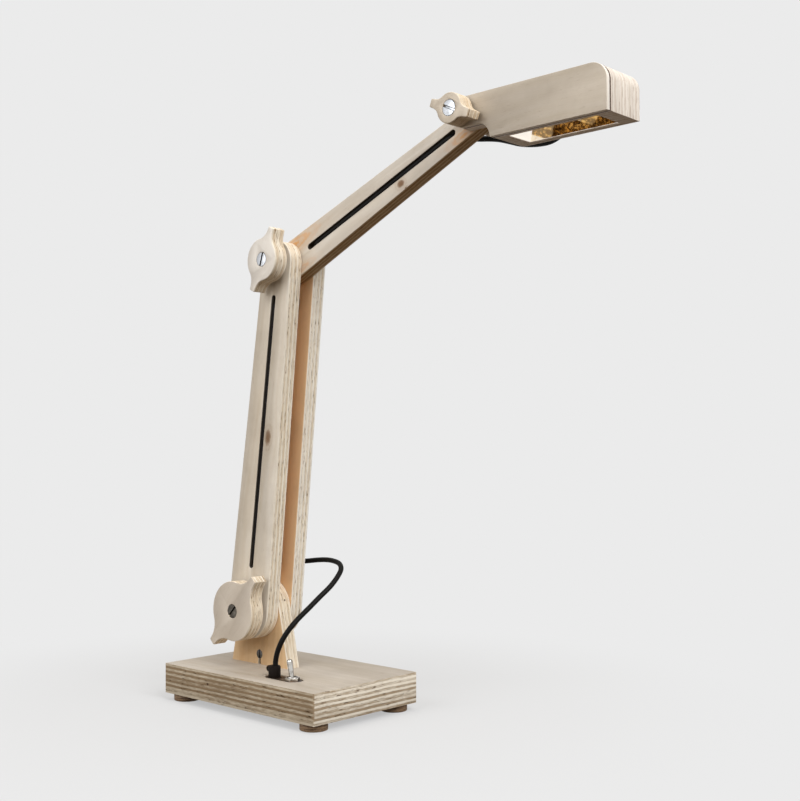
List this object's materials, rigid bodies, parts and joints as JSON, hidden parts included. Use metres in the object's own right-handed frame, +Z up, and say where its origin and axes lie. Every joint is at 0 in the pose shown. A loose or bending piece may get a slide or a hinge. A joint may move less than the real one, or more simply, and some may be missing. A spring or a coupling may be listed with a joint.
{
  "type": "folding plywood desk lamp",
  "caption": "Desk lamp of birch plywood boards: a heavy base with a toggle switch, two slotted arms on wing-knob friction joints, and a slab head with a mirrored light.",
  "frame": {"origin": "middle of the base board, on the surface that the feet stand on", "axes": "+X from the back of the base towards the lit end of the head, +Y across the boards away from the wing knobs, +Z up"},
  "size_m": [0.3028, 0.084, 0.3373],
  "materials": {
    "birch_ply": "satin",
    "foot_wood": "satin",
    "steel": "brushed",
    "weight_steel": "rolled",
    "switch_chrome": "polished",
    "bronze": "satin",
    "black_plastic": "matte",
    "black_rubber": "matte",
    "washer_nylon": "matte",
    "cable_black": "satin",
    "mirror_sheet": "polished",
    "board_white": "matte",
    "chip_yellow": "satin"
  },
  "bodies": {
    "base": {"base_plate": "birch_ply", "feet": "foot_wood", "foot_screws": "steel", "steel_weight": "weight_steel", "bottom_cover": "black_plastic", "cover_screws": "steel", "upright": "birch_ply", "barrel_nut": "steel", "upright_bolt": "steel", "switch_plate": "bronze", "switch_body": "black_plastic", "switch_neck": "switch_chrome", "switch_nut": "switch_chrome", "cable_gland": "black_rubber", "power_inlet": "black_plastic", "cable_base_loop": "cable_black"},
    "switch_lever": {"switch_lever": "switch_chrome"},
    "lower_arm": {"lower_plate_near": "birch_ply", "lower_plate_far": "birch_ply", "arm_nuts": "steel", "arm_washers": "steel", "arm_slips": "washer_nylon", "cable_lower_run": "cable_black", "cable_elbow_loop": "cable_black"},
    "upper_arm": {"upper_plate": "birch_ply", "cable_upper_run": "cable_black", "cable_head_loop": "cable_black"},
    "head": {"head_cover": "birch_ply", "head_shim": "black_plastic", "head_cheek_near": "birch_ply", "head_core": "birch_ply", "head_cheek_far": "birch_ply", "reflector": "mirror_sheet", "light_board": "board_white", "light_chips": "chip_yellow", "head_nut": "steel", "head_washer": "steel", "head_slips": "washer_nylon"},
    "shoulder_knob": {"shoulder_knob": "birch_ply", "shoulder_screw": "steel"},
    "elbow_knob": {"elbow_knob": "birch_ply", "elbow_screw": "steel"},
    "head_knob": {"head_knob": "birch_ply", "head_screw": "steel"}
  },
  "joints": [
    {"name": "shoulder", "type": "hinge", "parent": "base", "child": "lower_arm", "pos_m": [-0.0213, 0, 0.0572], "axis": [0, 1, 0], "range_deg": [-50, 60], "deforming": ["cable_base_loop"]},
    {"name": "elbow", "type": "hinge", "parent": "lower_arm", "child": "upper_arm", "pos_m": [0.00544, 0, 0.2665], "axis": [0, -1, 0], "range_deg": [-70, 90], "deforming": ["cable_elbow_loop"]},
    {"name": "head_tilt", "type": "hinge", "parent": "upper_arm", "child": "head", "pos_m": [0.14883, 0, 0.3287], "axis": [0, 1, 0], "range_deg": [-70, 60], "deforming": ["cable_head_loop"]},
    {"name": "shoulder_knob_turn", "type": "hinge", "parent": "lower_arm", "child": "shoulder_knob", "pos_m": [-0.0213, 0, 0.0572], "axis": [0, 1, 0], "continuous": true},
    {"name": "elbow_knob_turn", "type": "hinge", "parent": "lower_arm", "child": "elbow_knob", "pos_m": [0.00544, 0, 0.2665], "axis": [0, 1, 0], "continuous": true},
    {"name": "head_knob_turn", "type": "hinge", "parent": "head", "child": "head_knob", "pos_m": [0.14883, 0, 0.3287], "axis": [0, 1, 0], "continuous": true},
    {"name": "switch_throw", "type": "hinge", "parent": "base", "child": "switch_lever", "pos_m": [0.0308, -0.0246, 0.021], "axis": [0, 1, 0], "range_deg": [0, 22]}
  ]
}
